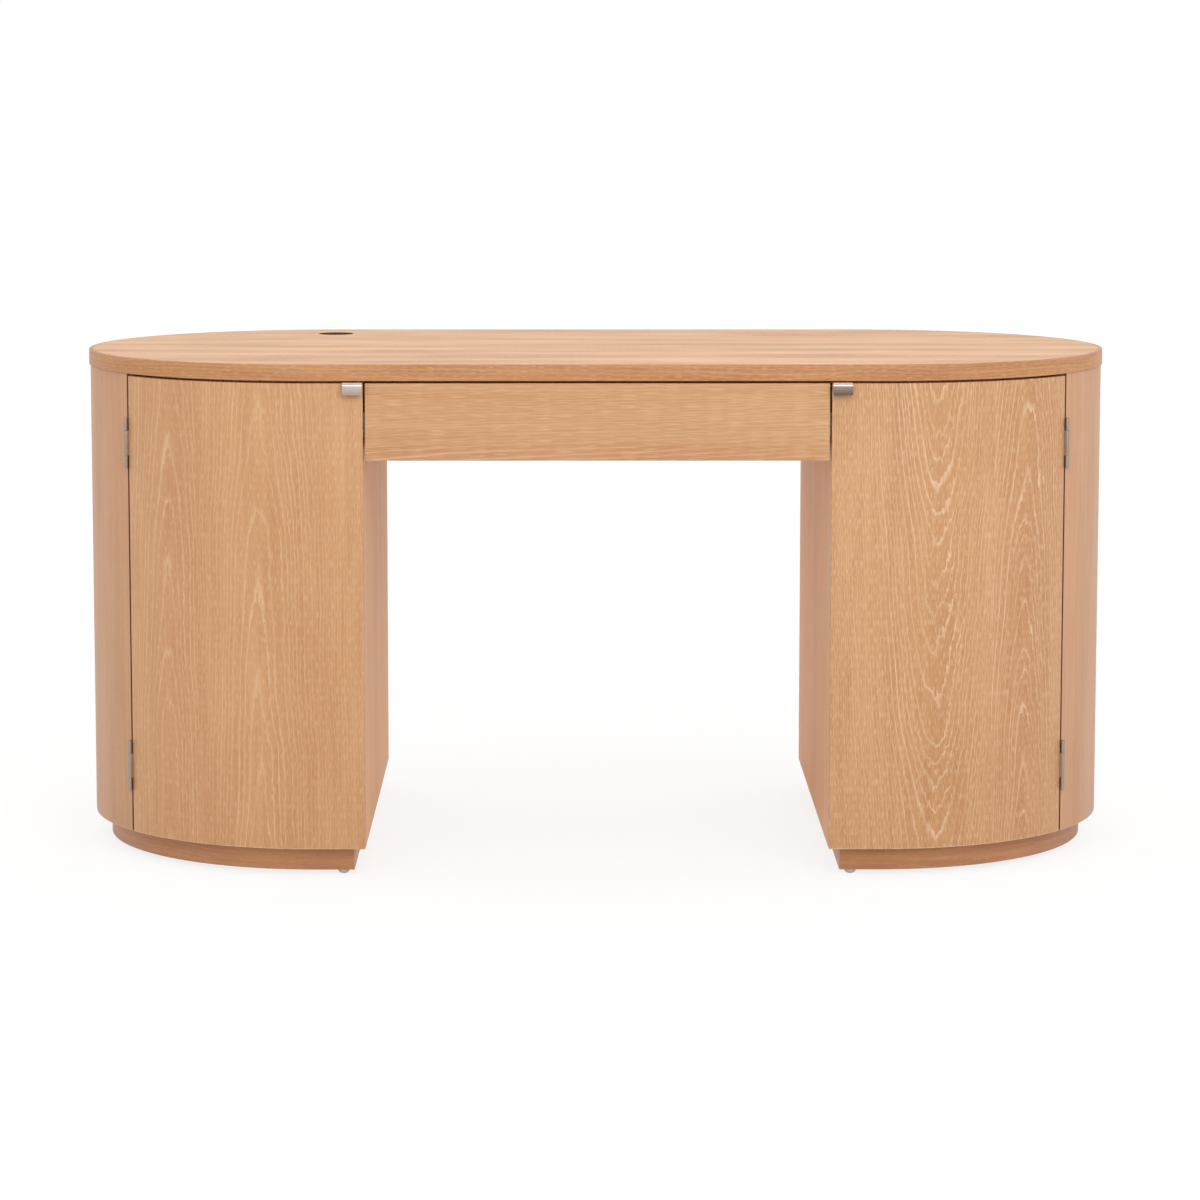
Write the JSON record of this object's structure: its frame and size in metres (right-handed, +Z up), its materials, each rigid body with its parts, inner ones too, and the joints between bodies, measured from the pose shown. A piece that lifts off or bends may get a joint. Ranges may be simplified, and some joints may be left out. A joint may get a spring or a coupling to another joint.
{
  "type": "executive desk",
  "caption": "Racetrack-shaped executive desk with curved-door pedestals on recessed plinths, a centre drawer on ball slides and a cable grommet.",
  "frame": {"origin": "floor level, under the middle of the whole desk's plan, pulls included", "axes": "+X along the desk, to the right of someone who faces its drawer, +Y from the drawer to the back, +Z up"},
  "size_m": [1.57, 0.745, 0.762],
  "materials": {
    "desktop_veneer": "cerused oak veneer, lengthwise grain, satin lacquer",
    "edging_veneer": "cerused oak edge band, grain along the edge, satin lacquer",
    "door_veneer": "cerused oak veneer, upright grain with cathedrals, satin lacquer",
    "shell_veneer": "cerused oak veneer on a curved shell, upright grain, satin lacquer",
    "kneehole_veneer": "cerused oak veneer, upright grain, satin lacquer",
    "plinth_veneer": "oak veneer, satin lacquer",
    "drawer_front_veneer": "cerused oak veneer, lengthwise grain, satin lacquer",
    "cabinet_board": "oak-faced board, satin",
    "drawer_box_wood": "pale birch, clear lacquer",
    "brushed_nickel": "brushed nickel plate, warm grey",
    "nickel_screws": "nickel plated steel",
    "zinc_steel": "bright zinc plate",
    "zinc_screws": "yellowish zinc plate",
    "glide_plastic": "grey white moulded glide",
    "catch_plastic": "brown moulded case with steel poles",
    "bumper_rubber": "soft clear dot",
    "grommet_dark": "dark bronze moulded ring",
    "grommet_metal": "brushed grey metal"
  },
  "bodies": {
    "carcass": {"desktop_core": "desktop_veneer", "desktop_edging": "edging_veneer", "left_curved_shell": "shell_veneer", "right_curved_shell": "shell_veneer", "left_inner_panel": "kneehole_veneer", "right_inner_panel": "kneehole_veneer", "rear_apron": "kneehole_veneer", "left_plinth": "plinth_veneer", "right_plinth": "plinth_veneer", "left_base_panel": "cabinet_board", "right_base_panel": "cabinet_board", "left_top_panel": "cabinet_board", "right_top_panel": "cabinet_board", "left_shelf": "cabinet_board", "right_shelf": "cabinet_board", "front_rail": "cabinet_board", "left_hinge_frame_leaves": "brushed_nickel", "right_hinge_frame_leaves": "brushed_nickel", "hinge_pins": "brushed_nickel", "hinge_frame_screws": "nickel_screws", "left_slide_outer": "zinc_steel", "right_slide_outer": "zinc_steel", "slide_panel_screws": "zinc_steel", "shelf_pins": "zinc_steel", "desktop_screws": "zinc_screws", "glides": "glide_plastic", "magnetic_catches": "catch_plastic", "door_bumpers": "bumper_rubber", "grommet_liner": "grommet_dark"},
    "left_door": {"left_door": "door_veneer", "left_door_pull": "brushed_nickel", "left_pull_screws": "nickel_screws", "left_hinge_door_leaves": "brushed_nickel", "left_hinge_door_screws": "nickel_screws", "left_strike_plate": "zinc_steel"},
    "left_slide_middle": {"left_slide_middle": "zinc_steel"},
    "left_outer_cage": {"left_outer_ball_cage": "zinc_steel"},
    "left_inner_cage": {"left_inner_ball_cage": "zinc_steel"},
    "right_door": {"right_door": "door_veneer", "right_door_pull": "brushed_nickel", "right_pull_screws": "nickel_screws", "right_hinge_door_leaves": "brushed_nickel", "right_hinge_door_screws": "nickel_screws", "right_strike_plate": "zinc_steel"},
    "right_slide_middle": {"right_slide_middle": "zinc_steel"},
    "right_outer_cage": {"right_outer_ball_cage": "zinc_steel"},
    "right_inner_cage": {"right_inner_ball_cage": "zinc_steel"},
    "drawer": {"drawer_front": "drawer_front_veneer", "drawer_sub_front": "drawer_box_wood", "drawer_back": "drawer_box_wood", "drawer_floor": "drawer_box_wood", "left_drawer_side": "drawer_box_wood", "right_drawer_side": "drawer_box_wood", "drawer_front_screws": "zinc_screws", "left_slide_inner": "zinc_steel", "right_slide_inner": "zinc_steel", "slide_drawer_screws": "zinc_steel"},
    "grommet_cap": {"grommet_cap": "grommet_metal"}
  },
  "joints": [
    {"name": "left_door_hinge", "type": "hinge", "parent": "carcass", "child": "left_door", "pos_m": [-0.70517, -0.22622, 0.38825], "axis": [0, 0, -1], "range_deg": [0, 180]},
    {"name": "right_door_hinge", "type": "hinge", "parent": "carcass", "child": "right_door", "pos_m": [0.70517, -0.22622, 0.38825], "axis": [0, 0, 1], "range_deg": [0, 180]},
    {"name": "drawer_slide", "type": "slide", "parent": "carcass", "child": "drawer", "axis": [0, -1, 0], "range_m": [0, 0.43]},
    {"name": "left_slide_middle_run", "type": "slide", "parent": "carcass", "child": "left_slide_middle", "axis": [0, -1, 0], "range_m": [0, 0.215]},
    {"name": "left_outer_cage_run", "type": "slide", "parent": "carcass", "child": "left_outer_cage", "axis": [0, -1, 0], "range_m": [0, 0.1075]},
    {"name": "left_inner_cage_run", "type": "slide", "parent": "carcass", "child": "left_inner_cage", "axis": [0, -1, 0], "range_m": [0, 0.3225]},
    {"name": "right_slide_middle_run", "type": "slide", "parent": "carcass", "child": "right_slide_middle", "axis": [0, -1, 0], "range_m": [0, 0.215]},
    {"name": "right_outer_cage_run", "type": "slide", "parent": "carcass", "child": "right_outer_cage", "axis": [0, -1, 0], "range_m": [0, 0.1075]},
    {"name": "right_inner_cage_run", "type": "slide", "parent": "carcass", "child": "right_inner_cage", "axis": [0, -1, 0], "range_m": [0, 0.3225]},
    {"name": "grommet_cap_turn", "type": "hinge", "parent": "carcass", "child": "grommet_cap", "pos_m": [-0.42, 0.2755, 0.762], "axis": [0, 0, 1], "continuous": true}
  ],
  "couplings": [
    {"joint": "left_slide_middle_run", "follows": "drawer_slide", "ratio": 0.5},
    {"joint": "left_outer_cage_run", "follows": "drawer_slide", "ratio": 0.25},
    {"joint": "left_inner_cage_run", "follows": "drawer_slide", "ratio": 0.75},
    {"joint": "right_slide_middle_run", "follows": "drawer_slide", "ratio": 0.5},
    {"joint": "right_outer_cage_run", "follows": "drawer_slide", "ratio": 0.25},
    {"joint": "right_inner_cage_run", "follows": "drawer_slide", "ratio": 0.75}
  ]
}
